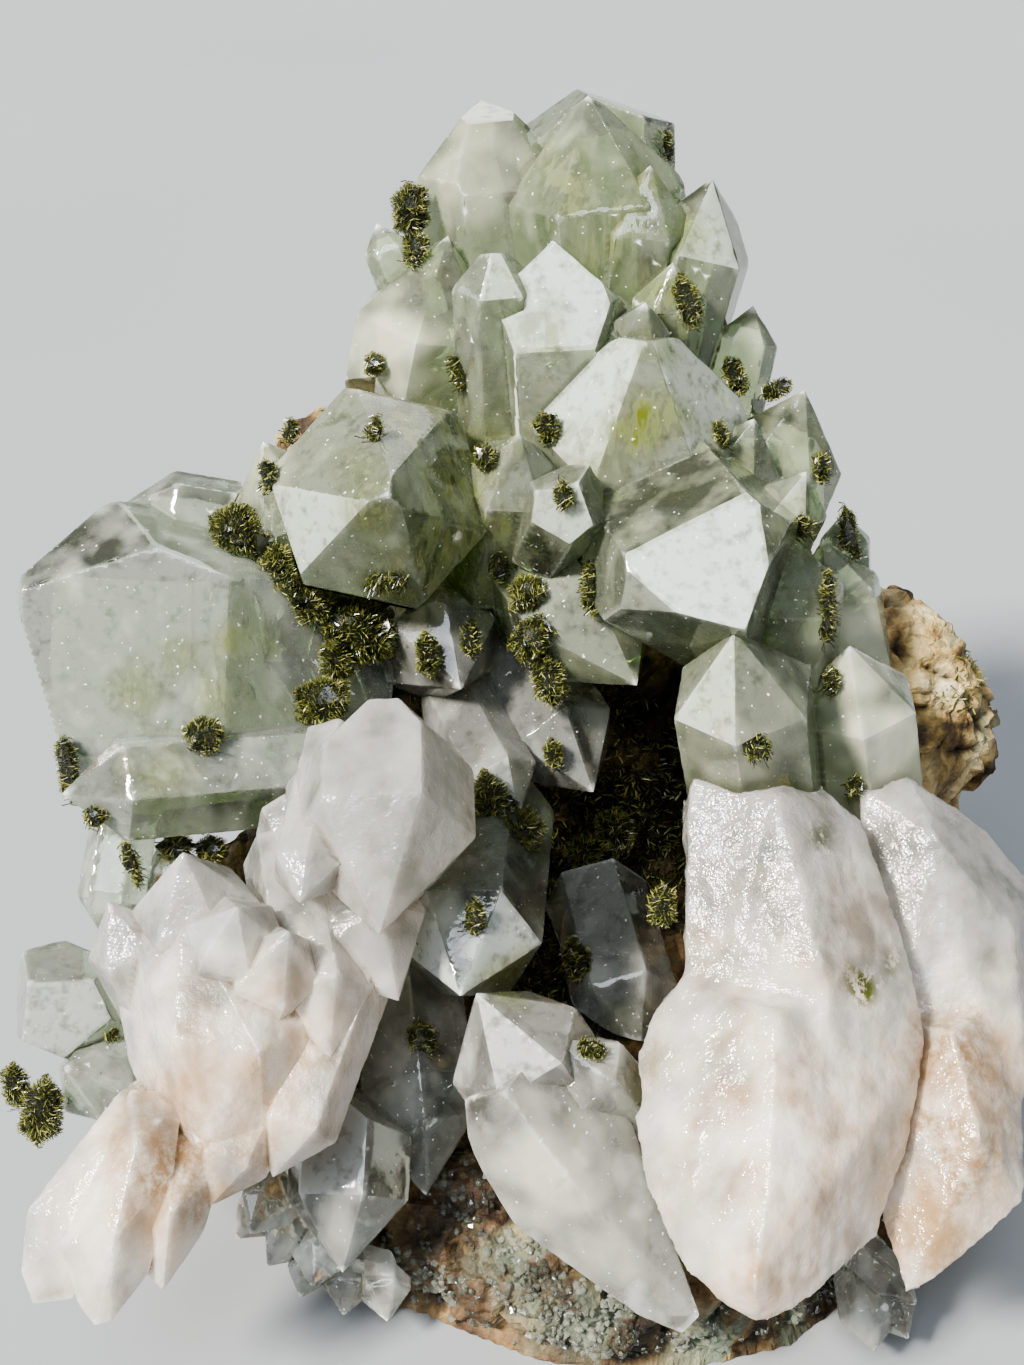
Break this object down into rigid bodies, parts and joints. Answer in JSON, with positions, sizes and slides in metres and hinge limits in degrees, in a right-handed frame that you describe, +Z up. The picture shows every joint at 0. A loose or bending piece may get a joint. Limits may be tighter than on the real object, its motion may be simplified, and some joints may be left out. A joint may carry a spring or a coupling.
{
  "type": "quartz with epidote cluster",
  "caption": "Cabinet mineral specimen: clear greenish and milky quartz crystals with dark olive epidote sprays on brown rock, cut flat underneath.",
  "frame": {"origin": "middle of the flat underside of the rock, on the ground", "axes": "+Z up; -Y towards the viewer, the side that shows the crystals; +X to the viewer's right"},
  "size_m": [0.1453, 0.1368, 0.1456],
  "materials": {
    "rock": "rough pale brown rock with grey-green patches",
    "green_quartz": "clear pale green crystal, glossy",
    "clear_quartz": "clear bluish-white crystal, glossy",
    "milky_quartz": "milky pinkish-white crystal, satin",
    "grey_quartz": "grey clear crystal, glossy",
    "epidote": "dark olive needles, glossy"
  },
  "bodies": {
    "root": {"centre_quartz_crystal": "clear_quartz", "clear_quartz_left": "clear_quartz", "epidote_front_1": "epidote", "epidote_front_2": "epidote", "epidote_front_3": "epidote", "epidote_hollow_1": "epidote", "epidote_hollow_10": "epidote", "epidote_hollow_11": "epidote", "epidote_hollow_2": "epidote", "epidote_hollow_3": "epidote", "epidote_hollow_4": "epidote", "epidote_hollow_5": "epidote", "epidote_hollow_6": "epidote", "epidote_hollow_7": "epidote", "epidote_hollow_8": "epidote", "epidote_hollow_9": "epidote", "epidote_left_1": "epidote", "epidote_left_10": "epidote", "epidote_left_11": "epidote", "epidote_left_12": "epidote", "epidote_left_2": "epidote", "epidote_left_3": "epidote", "epidote_left_4": "epidote", "epidote_left_5": "epidote", "epidote_left_6": "epidote", "epidote_left_7": "epidote", "epidote_left_8": "epidote", "epidote_left_9": "epidote", "epidote_right_1": "epidote", "epidote_right_10": "epidote", "epidote_right_2": "epidote", "epidote_right_3": "epidote", "epidote_right_4": "epidote", "epidote_right_5": "epidote", "epidote_right_6": "epidote", "epidote_right_7": "epidote", "epidote_right_8": "epidote", "epidote_right_9": "epidote", "epidote_upper_1": "epidote", "epidote_upper_10": "epidote", "epidote_upper_2": "epidote", "epidote_upper_3": "epidote", "epidote_upper_4": "epidote", "epidote_upper_5": "epidote", "epidote_upper_6": "epidote", "epidote_upper_7": "epidote", "epidote_upper_8": "epidote", "epidote_upper_9": "epidote", "front_quartz_cluster": "clear_quartz", "green_quartz_cluster": "green_quartz", "grey_quartz_crystal": "grey_quartz", "hollow_quartz_lower": "grey_quartz", "hollow_quartz_upper": "grey_quartz", "left_edge_quartz": "clear_quartz", "milky_blade_edge": "milky_quartz", "milky_blade_right": "milky_quartz", "milky_quartz_left": "milky_quartz", "rock_matrix": "rock", "small_quartz_left": "grey_quartz", "small_quartz_right": "grey_quartz"}
  },
  "joints": []
}
